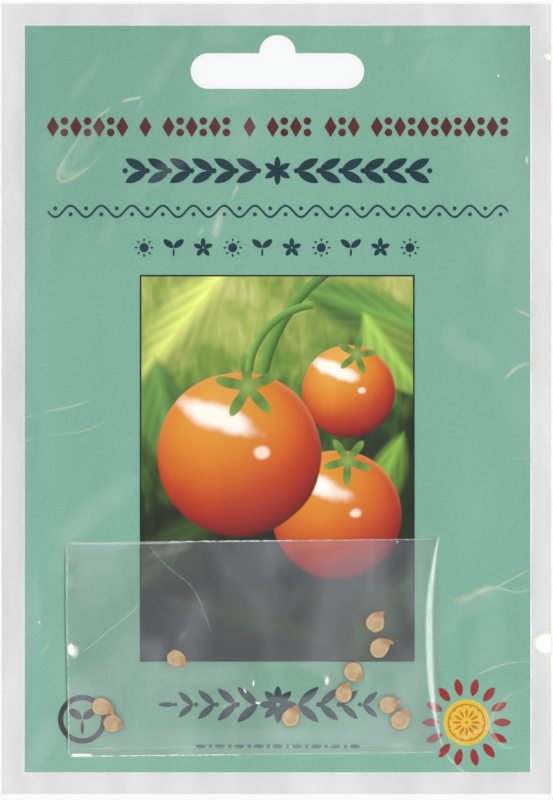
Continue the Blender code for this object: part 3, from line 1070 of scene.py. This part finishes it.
def sleeve_at_rest(x, y):
    """Height of the sleeve's front film over the card and the sachet, before its creases."""
    low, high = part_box("sleeve")
    inset = np.minimum(np.minimum(x - low.x, high.x - x), np.minimum(y - low.y, high.y - y))
    rim = edge_profile(inset, RIM, 0.2 * MM)
    low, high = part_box("card")
    past = np.maximum(np.maximum(low.x - x, x - high.x), np.maximum(low.y - y, y - high.y))
    height = rim + edge_profile(past, CARD_STEP, 0.03 * MM)
    over_card = ease((-past - 0.5 * MM) / CARD_LIFT_RUN)
    swell = CARD_LIFT + waves(x, y, 5, 24 * MM, 0.07 * MM) + waves(x, y, 8, 9 * MM, 0.012 * MM)
    height += over_card * swell
    u, v = sachet_frame(x, y)
    from_edge = (u + SACHET_WIDTH / 2 - PLEAT_INSET) / PLEAT_WIDTH
    pleats = np.sin(2 * math.pi * v / PLEAT_PITCH) * np.exp(-(from_edge**2))
    height += PLEAT_HEIGHT * pleats * ease((SACHET_LENGTH / 2 - np.abs(v)) / (3 * MM)) * (v > -2 * MM)
    u, v = u / (SACHET_WIDTH / 2), v / (SACHET_LENGTH / 2)
    dome = DOME * ease(1.08 - np.abs(u)) * ease(1.12 - np.abs(v))
    return soft_top((height, dome, sachet_top(x, y) + SACHET_CLEARANCE), 0.05 * MM)


def sleeve_top(x, y):
    """Height of the sleeve's front film with its creases and the fold along the sachet."""
    ridge = np.zeros(x.shape)
    for points, width, _ in CREASES:
        gap, share = along(curve_through(points), x, y)
        lift = CREASE_STEEPNESS * width / STEEPEST * MM
        ridge = np.maximum(ridge, lift * np.exp(-((gap / (width * MM)) ** 2)) * taper(share))
    height = sleeve_at_rest(x, y) + ridge
    line = curve_through(FOLD_LINE)
    gap, share = along(line, x, y)
    level = np.interp(share, np.linspace(0, 1, len(line)), sleeve_at_rest(line[:, 0], line[:, 1]))
    half = FOLD_HALF_WIDTH * MM * (0.22 + 0.78 * taper(share, 0.5))
    fall = FOLD_STEEPNESS * half * np.tanh(gap / half)
    weight = np.exp(-((gap / FOLD_REACH) ** 4)) * taper(share, 0.06)
    return height * (1 - weight) + (level - fall) * weight


def soft_patches(x, y, patches):
    """How dull a film is at a place, for its painted sheen: the sum of soft ovals."""
    total = np.zeros(x.shape)
    for at_x, at_y, half_length, half_width, turn, strength in patches:
        u, v = turned(x / MM - at_x, y / MM - at_y, -math.radians(turn))
        reach = np.hypot(u / half_length, v / half_width)
        total += strength * ease((1.25 - reach) / 0.75)
    return total


def film_solid(sheet, height, cutter=None):
    """Gives a flat grid its heights and its thickness, and punches it."""
    points = corners_of(sheet)
    points[:, 2] = height(points[:, 0], points[:, 1])
    set_corners(sheet, points)
    finish_modifier(sheet, "SOLIDIFY", thickness=FILM, offset=-1.0)
    if cutter:
        punch(sheet, cutter)
    smooth(sheet)


def distance_to(paths):
    """A function that gives how far a place is from the nearest of those paths."""
    curves = [curve_through(points) for points in paths]

    def gap(x, y):
        return np.min([np.abs(along(curve, x, y)[0]) for curve in curves], axis=0)

    return gap


def level_at(height):
    """A function that gives that height everywhere."""

    def level(x, y):
        return np.full(x.shape, height)

    return level


def mark_points(piece, name, values):
    """Gives each point of a piece a number that its material reads."""
    mark = piece.data.attributes.new(name, "FLOAT", "POINT")
    mark.data.foreach_set("value", np.asarray(values, np.float32))


def cut_lines(sheet, axis, places):
    """Cuts a flat sheet right across at each place on that axis."""
    way = Vector((1.0, 0.0, 0.0) if axis == 0 else (0.0, 1.0, 0.0))
    with Editing(sheet, "FACE"):
        for at in places:
            bpy.ops.mesh.select_all(action="SELECT")
            bpy.ops.mesh.bisect(plane_co=way * at, plane_no=way)


def sleeve_films(cutter):
    """The sleeve's two films: the back one flat, the front one lying over what is inside."""
    low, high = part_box("sleeve")
    width, length = high.x - low.x, high.y - low.y
    front = flat_sheet("sleeve_front", width, length, 1.0 * MM)
    low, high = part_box("card")
    for axis in (0, 1):
        for past in CARD_EDGE_CUTS:
            cut_lines(front, axis, (low[axis] - past * MM, high[axis] + past * MM))
    creases = distance_to([*(points for points, *_ in CREASES), FOLD_LINE])
    for reach in CREASE_REACHES:
        refine(front, creases, reach)
    film_solid(front, sleeve_top, cutter)
    back = flat_sheet("sleeve_back", width, length, 4.0 * MM)
    film_solid(back, level_at(FILM), cutter)
    x, y, _ = corners_of(front).T
    on_card = (x > low.x) & (x < high.x) & (y > low.y) & (y < high.y)
    # Painted sheen over the card: duller patches that stand for the film's reflections
    mark_points(front, "sheen", soft_patches(x, y, SLEEVE_SHEENS) * on_card)
    white = (0.88, 0.87, 0.88)
    clear = film(
        "sleeve_front_film", index=1.44, roughness=0.10, tint=(1.0, 0.999, 1.0), haze=0.009, dull=white
    )
    place(front, clear, "sleeve_film", "sleeve")
    clear = film(
        "sleeve_back_film", index=1.44, roughness=0.15, tint=(0.999, 0.999, 1.0), haze=0.003, dull=white,
        shade=0.012,
    )
    place(back, clear, "sleeve_film")


def on_sleeve(x, y):
    """The height of a mark on the sleeve's film."""
    return sleeve_top(x, y) + CREASE_LIFT


on_weld = level_at(SACHET_WELD + WELD_LIFT)


def ribbon(points, width, height, strength, breaks=0, ends=0.3):
    """A thin strip along a line in mm, white in its middle; a broken one is uneven along its length."""
    line = curve_through(points)
    runs = np.concatenate([[0.0], np.cumsum(np.hypot(*np.diff(line, axis=0).T))])
    columns = max(8, int(runs[-1] / (0.25 * MM)))
    strip = added(bpy.ops.mesh.primitive_grid_add, x_subdivisions=columns, y_subdivisions=8, size=1.0)
    grid = corners_of(strip)
    run = (grid[:, 0] + 0.5) * runs[-1]
    x, y = np.interp(run, runs, line[:, 0]), np.interp(run, runs, line[:, 1])
    ahead = np.minimum(run + 0.15 * MM, runs[-1])
    behind = ahead - 0.3 * MM
    dx = np.interp(ahead, runs, line[:, 0]) - np.interp(behind, runs, line[:, 0])
    dy = np.interp(ahead, runs, line[:, 1]) - np.interp(behind, runs, line[:, 1])
    size = np.hypot(dx, dy)
    draw = np.random.default_rng(breaks)
    knots = np.arange(0.0, runs[-1] / MM + 2.0, 0.45 if breaks else 1.6)
    wobble = np.interp(run / MM, knots, draw.normal(0.0, 0.035 if breaks else 0.0, len(knots))) * MM
    side = grid[:, 1] * width * MM + wobble
    x, y = x - dy / size * side, y + dx / size * side
    set_corners(strip, np.column_stack([x, y, height(x, y)]))
    uneven = np.interp(run / MM, knots, draw.uniform(0.2 if breaks else 0.6, 1.0, len(knots)))
    fade = ease(np.minimum(run, runs[-1] - run) / (ends * runs[-1]))
    mark_points(strip, "white", strength * uneven * fade * np.cos(math.pi * grid[:, 1]) ** 2)
    finish_modifier(strip, "SOLIDIFY", thickness=MARK, offset=1.0)
    return strip


def spot(x, y, half_width, half_length, turn, strength):
    """A small round painted glint where the film is white, fading at its edge and ending at the sleeve's."""
    patch = added(bpy.ops.mesh.primitive_circle_add, vertices=32, radius=0.2, fill_type="TRIFAN")
    for reach in (0.4, 0.6, 0.8, 1.0):
        with Editing(patch, "VERT"):
            bpy.ops.mesh.select_non_manifold()
            bpy.ops.mesh.extrude_edges_move()
            bpy.ops.transform.resize(value=(reach / (reach - 0.2),) * 2 + (1.0,))
    grid = corners_of(patch)
    level = np.hypot(grid[:, 0], grid[:, 1])
    u, v = turned(grid[:, 0] * half_width * 1.4, grid[:, 1] * half_length * 1.4, math.radians(turn))
    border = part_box("sleeve")[1].x - 0.05 * MM
    across = np.minimum((x + u) * MM, border)
    up = (y + v) * MM
    set_corners(patch, np.column_stack([across, up, on_sleeve(across, up)]))
    mark_points(patch, "white", strength * ease((1.0 - level) / 0.8))
    finish_modifier(patch, "SOLIDIFY", thickness=MARK, offset=1.0)
    return patch


def in_sachet(u, v):
    """A place in the sachet's own frame as a place on the card, both in mm."""
    u, v = turned(u, v, SACHET_TURN)
    return SACHET_PLACE[0] / MM + u, SACHET_PLACE[1] / MM + v


def marks():
    """Painted highlights along the creases and the sachet's edges, painted glints, white hairlines and a
    painted shadow by the sachet's left edge, each a thin layer on its film.
    """
    # Painted highlights: cream lines along the creases where they catch the light
    cream = mark_finish("crease_highlight", (0.98, 0.89, 0.62))
    lines = [
        ribbon(points, width * RIBBON_SPREAD, on_sleeve, strength) for points, width, strength in CREASES
    ]
    place(joined("crease_highlights", lines), cream, "sleeve_film")
    # White marks: hairline creases, and the painted glints and highlights of the spots and the sachet's edges
    white = mark_finish("white_crease_and_glint", (0.88, 0.89, 0.84))
    lines = [ribbon(points, HAIRLINE_WIDTH, on_sleeve, strength, 5, 0.12) for points, strength in HAIRLINES]
    place(joined("hairline_creases", lines), white, "sleeve_film")
    place(joined("painted_glints", [spot(*facts) for facts in WHITE_SPOTS]), white, "sleeve_film")
    a, b = SACHET_WIDTH / 2 / MM, SACHET_LENGTH / 2 / MM
    # Each edge's painted highlight, a light line where the weld catches the light: its line from the sachet's
    # middle and its width in mm, how white it is, and the number that its breaks are drawn from, 0 for none
    edges = (
        (((-a, b - 0.2), (-20.0, b - 0.25), (-12.0, b - 0.2)), 0.8, 0.20, 0),
        (((-16.0, b - 0.1), (-6.0, b - 0.1), (8.0, b - 0.1)), 0.40, 0.55, 21),
        (((0.0, b - 0.12), (20.0, b - 0.12), (a, b - 0.12)), 0.34, 0.26, 22),
        (((-a + 0.6, 0.35 - b), (-a + 2.2, 0.35 - b), (-a + 4.4, 0.3 - b)), 0.85, 0.8, 0),
        (((-a, 0.15 - b), (-14.0, 0.15 - b), (-2.0, 0.15 - b)), 0.36, 0.50, 23),
        (((-4.0, 0.2 - b), (14.0, 0.2 - b), (a, 0.2 - b)), 0.50, 0.14, 28),
        (((-a, 1.5 - b), (-10.0, 1.6 - b), (a - 3.0, 1.5 - b)), 0.30, 0.16, 24),
        (((0.2 - a, b), (0.05 - a, 6.0), (0.15 - a, -4.0)), 0.34, 0.30, 25),
        (((0.15 - a, -4.0), (0.2 - a, -10.0), (0.15 - a, -b)), 0.40, 0.36, 26),
        (((a - 0.15, b), (a - 0.15, 0.0), (a - 0.15, -b)), 0.34, 0.04, 27),
    )
    lines = [
        ribbon([in_sachet(*p) for p in points], width, on_weld, strength, breaks, 0.05)
        for points, width, strength, breaks in edges
    ]
    place(joined("sachet_edge_highlights", lines), white, "sachet_film")
    # Painted shadow: a dark line just outside the sachet's left edge
    line = ((-a - 0.2, b), (-a - 0.3, 4.0), (-a - 0.15, -6.0), (-a - 0.2, -b))
    shade = ribbon([in_sachet(*p) for p in line], 0.5, on_weld, 0.36, 0, 0.1)
    place(joined("sachet_edge_shade", [shade]), mark_finish("edge_shade", (0.03, 0.08, 0.06)), "sachet_film")


def pressed(x, y):
    """1 where the films are pressed together, which leaves no haze."""
    at_x, at_y, half_width, half_length = PRESSED_OVAL
    reach = np.hypot((x / MM - at_x) / half_width, (y / MM - at_y) / half_length)
    return ease((1.12 - reach) / 0.24)


def sachet_films():
    """The sachet's two films: the back one flat, the front one over the seeds."""
    finish = film(
        "sachet_film", index=1.37, roughness=0.12, tint=(0.999, 0.994, 0.982), haze=0.044,
        dull=(0.78, 0.85, 0.97),
    )
    front = flat_sheet("sachet_front", SACHET_WIDTH, SACHET_LENGTH, 0.55 * MM)
    back = flat_sheet("sachet_back", SACHET_WIDTH, SACHET_LENGTH, 0.8 * MM)
    there = Matrix.Translation((*SACHET_PLACE, 0.0)) @ Matrix.Rotation(SACHET_TURN, 4, "Z")
    for piece in (front, back):
        piece.data.transform(there)
    film_solid(front, sachet_top)
    film_solid(back, level_at(SACHET_BACK))
    for piece in (front, back):
        mark_points(piece, "pressed", pressed(*corners_of(piece)[:, :2].T))
    mark_points(front, "sheen", soft_patches(*corners_of(front)[:, :2].T, SACHET_SHEENS))
    place(front, finish, "sachet_film", "sachet")
    place(back, finish, "sachet_film")


def seed(number, x, y, radius, reach, turn):
    """One seed: a flat round body with a raised rim, dished faces and a bent beak."""
    name = f"seed_{number:02d}"
    piece = added(bpy.ops.mesh.primitive_uv_sphere_add, segments=72, ring_count=36, radius=1.0)
    settled(piece, f"pepper_{name}")
    points = corners_of(piece)
    draw = np.random.default_rng(number)
    angle = np.arctan2(points[:, 1], points[:, 0])
    level = np.hypot(points[:, 0], points[:, 1])
    shoulder = np.exp(-((angle / np.where(angle > 0, 0.85, 0.6)) ** 2))
    beak = 0.42 * shoulder + 0.58 * np.exp(-((angle / 0.27) ** 2))
    lumps = sum(
        draw.uniform(0.006, 0.018) * np.cos(order * angle + draw.uniform(0, 2 * math.pi))
        for order in (2, 3, 5, 7)
    )
    edge = radius * (1.0 + lumps) + (reach - radius) * beak
    thick = SEED_THICKNESS / 2 / MM
    side = np.sign(points[:, 2])
    round_edge = np.sqrt(np.clip(1.0 - level**4, 0.0, 1.0))
    dish = 0.74 + 0.26 * np.exp(-(((level - 0.78) / 0.16) ** 2)) - 0.05 * beak * level
    thin = 1.0 - 0.35 * beak * ease((level - 0.5) / 0.5)
    wrinkle = 0.02 * np.sin(9 * angle + 6 * level + draw.uniform(0, 6)) * level * (1 - level)
    hook = draw.choice((-1.0, 1.0)) * 0.42 * np.maximum(level * edge / radius - 0.85, 0.0) * beak
    made = np.column_stack(
        [
            level * edge * np.cos(angle + hook),
            level * edge * np.sin(angle + hook),
            side * thick * (round_edge * dish * thin + wrinkle),
        ]
    )
    set_corners(piece, made * MM)
    lean = Euler((draw.uniform(-0.04, 0.04), draw.uniform(-0.04, 0.04), math.radians(turn)))
    lean = lean.to_matrix().to_4x4()
    piece.data.transform(Matrix.Translation((x * MM, y * MM, SEED_MIDDLE)) @ lean)
    mark_points(piece, "beak", beak * ease((level - 0.35) / 0.6))
    # Where the painted highlight on the raised rim lies
    mark_points(piece, "rim", ease((level - 0.66) / 0.16) * ease((0.97 - level) / 0.1))
    # Painted shade: the outline is darkest on the seed's upper left side, where the shade falls
    shaded = 0.5 + 0.5 * np.cos(angle + math.radians(turn) - math.radians(150.0))
    mark_points(piece, "edge", ease((level - 0.80) / 0.18) * (0.35 + 0.65 * shaded))
    crook = (level - 0.42) * 2.2 - angle * 0.9
    groove = np.exp(-((crook / 0.16) ** 2)) * np.exp(-((angle / 0.55) ** 2)) * ease(level * 3 - 1)
    mark_points(piece, "groove", groove)
    smooth(piece, math.radians(60))
    place(piece, seed_coat(f"seed_coat_{number:02d}", number), "seed", name)


def picture():
    """The picture on the card, as a thin panel of print."""
    middle = (*PICTURE_PLACE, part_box("card")[1].z + INK / 2)
    size = (PICTURE_WIDTH, PICTURE_LENGTH, INK)
    panel = added(bpy.ops.mesh.primitive_cube_add, size=1.0, location=middle, scale=size)
    place(settled(panel, "picture_panel"), garden_picture(), "card")


def flat_disc(sides, radius):
    return added(bpy.ops.mesh.primitive_circle_add, vertices=sides, radius=radius * MM, fill_type="NGON")


def dot(radius):
    return flat_disc(24, radius)


def lozenge(length, width):
    """A diamond with blunt corners, long in x."""
    shape = flat_disc(4, 0.5)
    with Editing(shape, selected=True):
        bpy.ops.transform.resize(value=(length, width, 1.0))
        bpy.ops.mesh.bevel(offset=0.08 * min(length, width) * MM, segments=3, affect="VERTICES")
    return shape


def leaf(length, width):
    """A pointed oval, long in x: the part of a circle above a line, and its mirror image."""
    rise = width / 2
    radius = (length * length / 4 + rise * rise) / (2 * rise)
    shape = flat_disc(96, radius)
    with Editing(shape, selected=True):
        bpy.ops.transform.translate(value=(0.0, (rise - radius) * MM, 0.0))
        bpy.ops.mesh.bisect(plane_co=(0, 0, 0), plane_no=(0, 1, 0), clear_inner=True)
        bpy.ops.mesh.select_all(action="SELECT")
        bpy.ops.mesh.symmetrize(direction="POSITIVE_Y")
    return shape


def ring(radius, width):
    shape = flat_disc(64, radius)
    with Editing(shape, "FACE", selected=True):
        bpy.ops.mesh.inset(thickness=width * MM)
        bpy.ops.mesh.delete(type="FACE")
    return shape


def wave(length, height, periods, width):
    """A band along a sine, long in x."""
    shape = flat_sheet("wave", length * MM, width * MM, length * MM / (24 * periods))
    points = corners_of(shape)
    points[:, 1] = np.where(points[:, 1] > 0, 0.5, -0.5) * width * MM
    phase = 2 * math.pi * periods * points[:, 0] / (length * MM)
    slope = np.cos(phase) * math.pi * periods * height / length
    side = points[:, 1] * np.sqrt(1 + slope**2)
    points[:, 1] = side + np.sin(phase) * height / 2 * MM
    set_corners(shape, points)
    return shape


def stamped(shape, *places):
    """Copies of a flat shape: each place is x and y in mm, a turn in degrees and a scale."""
    made = []
    for x, y, *more in places:
        turn, scale = (*more, *(0.0, 1.0)[len(more) :])
        made.append(copy_at(shape, (x * MM, y * MM), math.radians(turn), scale))
    remove(shape)
    return made


def printed(name, finish, shapes, depth=INK):
    """Flat shapes as one thin layer of ink on the card."""
    layer = joined(name, shapes)
    settled(layer, name)
    finish_modifier(layer, "SOLIDIFY", thickness=depth, offset=-1.0)
    low = corners_of(layer)[:, 2].min()
    layer.data.transform(Matrix.Translation((0.0, 0.0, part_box("card")[1].z - low)))
    with Editing(layer, "FACE", selected=True):
        bpy.ops.mesh.normals_make_consistent(inside=False)
    place(layer, finish, "card")


def rosette(x, y, petals, reach, start=0.0):
    """Places for petals of a flower whose leaf shape is long in x."""
    turns = [start + 360.0 * i / petals for i in range(petals)]
    return [(x + reach * math.cos(math.radians(t)), y + reach * math.sin(math.radians(t)), t) for t in turns]


def red_band():
    """Groups of lozenges and dots, which take turns along the band."""
    y, start, pitch = 50.2, -42.3, 2.135
    lozenges, dots, slot = [], [], 0
    for size in (7, 1, 6, 1, 4, 3, 12):
        for i in range(size):
            x = start + (slot + 0.5) * pitch
            if i % 2 == 0:
                lozenges.append((x, y))
            else:
                dots += [(x, y + 1.05), (x, y - 1.05)]
            slot += 1
        slot += 1
    shapes = stamped(lozenge(2.3, 3.9), *lozenges) + stamped(dot(0.72), *dots)
    printed("red_band", ink("dark_red_ink", (0.092, 0.016, 0.0125)), shapes)


def navy_prints():
    """A leafy garland, and a row of small garden signs under it."""
    x, y = 0.2, 42.1
    leaves = [
        (x + side * (5.6 + 4.1 * i), y + up * 1.15, up * side * 28)
        for i in range(6) for side in (-1, 1) for up in (-1, 1)
    ]
    berries = [(x + s * (3.5 + 4.1 * i), y) for i in range(7) for s in (-1, 1)]
    shapes = stamped(leaf(4.5, 1.7), *leaves) + stamped(dot(0.5), *berries)
    shapes += stamped(leaf(2.7, 1.15), *rosette(x, y, 6, 1.35, 30.0))
    y = 27.9
    for i in range(10):
        cx = 0.12 + (i - 4.5) * 5.45
        if i % 3 == 0:
            shapes += stamped(dot(0.85), (cx, y)) + stamped(lozenge(0.75, 0.45), *rosette(cx, y, 8, 1.45))
        elif i % 3 == 1:
            shapes += stamped(leaf(2.5, 1.15), (cx + 0.95, y + 0.75, 40), (cx - 0.95, y + 0.75, 140))
            shapes += stamped(leaf(1.9, 0.4), (cx, y - 0.9, 90))
        else:
            shapes += stamped(leaf(1.8, 0.9), *rosette(cx, y, 5, 0.98, 90.0))
    printed("navy_prints", ink("navy_ink", (0.005, 0.034, 0.050)), shapes)


def slate_prints():
    """A thin wave with dots, and an ornament of leaves with a thin rule below it."""
    y, periods, length = 34.6, 15, 85.0
    step = length / periods
    shapes = stamped(wave(length, 2.1, periods, 0.42), (0.3, y))
    troughs = [(0.3 - length / 2 + (i + 0.25) * step, y + 0.55) for i in range(periods)]
    crests = [(0.3 - length / 2 + (i + 0.75) * step, y - 0.55) for i in range(periods)]
    shapes += stamped(dot(0.38), *troughs, *crests)
    x, y = 0.3, -56.4
    shapes += stamped(leaf(3.3, 1.35), *rosette(x, y, 8, 1.85))
    for side in (-1, 1):
        for i, reach in enumerate((5.6, 9.4, 13.2, 17.0)):
            grown = 1.0 - 0.09 * i
            for up in (-1, 1):
                spot_at = (x + side * reach, y + up * 1.55 * grown, side * up * 42, grown)
                shapes += stamped(leaf(5.2, 1.6), spot_at)
            shapes += stamped(dot(0.5), (x + side * (reach + 1.9), y, 0, grown))
        shapes += stamped(leaf(3.4, 0.9), (x + side * 20.6, y))
    y = -64.1
    shapes += stamped(leaf(2.3, 0.7), *[(x + (i - 4) * 3.55, y) for i in range(9)])
    shapes += stamped(dot(0.36), *[(x + (i - 3.5) * 3.55, y) for i in range(8)])
    printed("slate_prints", ink("slate_ink", (0.008, 0.046, 0.062)), shapes)


def ring_print():
    """A dark ring round a sprout."""
    x, y = -35.8, -59.1
    shapes = stamped(ring(4.5, 1.0), (x, y))
    shapes += stamped(leaf(3.0, 1.5), (x + 1.25, y + 0.95, 38), (x - 1.25, y + 0.95, 142))
    shapes += stamped(leaf(3.1, 0.6), (x, y - 1.5, 90))
    printed("ring_print", ink("dark_ink", (0.05, 0.045, 0.055)), shapes)


def sun_print():
    """A yellow sun with red rays."""
    x, y = 35.1, -59.7
    printed("sun_disc", ink("yellow_ink", (0.72, 0.50, 0.045)), stamped(dot(4.3), (x, y)))
    core = stamped(ring(3.5, 0.3), (x, y)) + stamped(dot(0.3), (x, y))
    core += stamped(leaf(1.9, 0.5), *rosette(x, y, 12, 1.75))
    core += stamped(dot(0.16), *rosette(x, y, 12, 3.05, 15.0))
    printed("sun_core", ink("orange_ink", (0.56, 0.20, 0.015)), core, 1.5 * INK)
    rays = stamped(leaf(3.4, 1.5), *rosette(x, y, 14, 6.6))
    printed("sun_rays", ink("red_ink", (0.30, 0.020, 0.022)), rays)


def picture_frame():
    """The thin black line round the picture."""
    line = added(bpy.ops.mesh.primitive_plane_add, size=1.0)
    line.scale = (PICTURE_WIDTH + KEYLINE * 2, PICTURE_LENGTH + KEYLINE * 2, 1.0)
    line.location = (*PICTURE_PLACE, 0.0)
    settled(line, "picture_frame")
    with Editing(line, "FACE", selected=True):
        bpy.ops.mesh.inset(thickness=KEYLINE)
        bpy.ops.mesh.delete(type="FACE")
    printed("picture_frame", ink("black_ink", (0.012, 0.014, 0.014)), [line])


def main():
    camera()
    floor()
    light()
    cutter = slot_cutter(-2 * MM, 6 * MM)
    card_board(cutter)
    picture()
    picture_frame()
    red_band()
    navy_prints()
    slate_prints()
    ring_print()
    sun_print()
    sleeve_films(cutter)
    sachet_films()
    marks()
    for number, facts in enumerate(SEEDS, 1):
        seed(number, *facts)
    remove(cutter)


main()
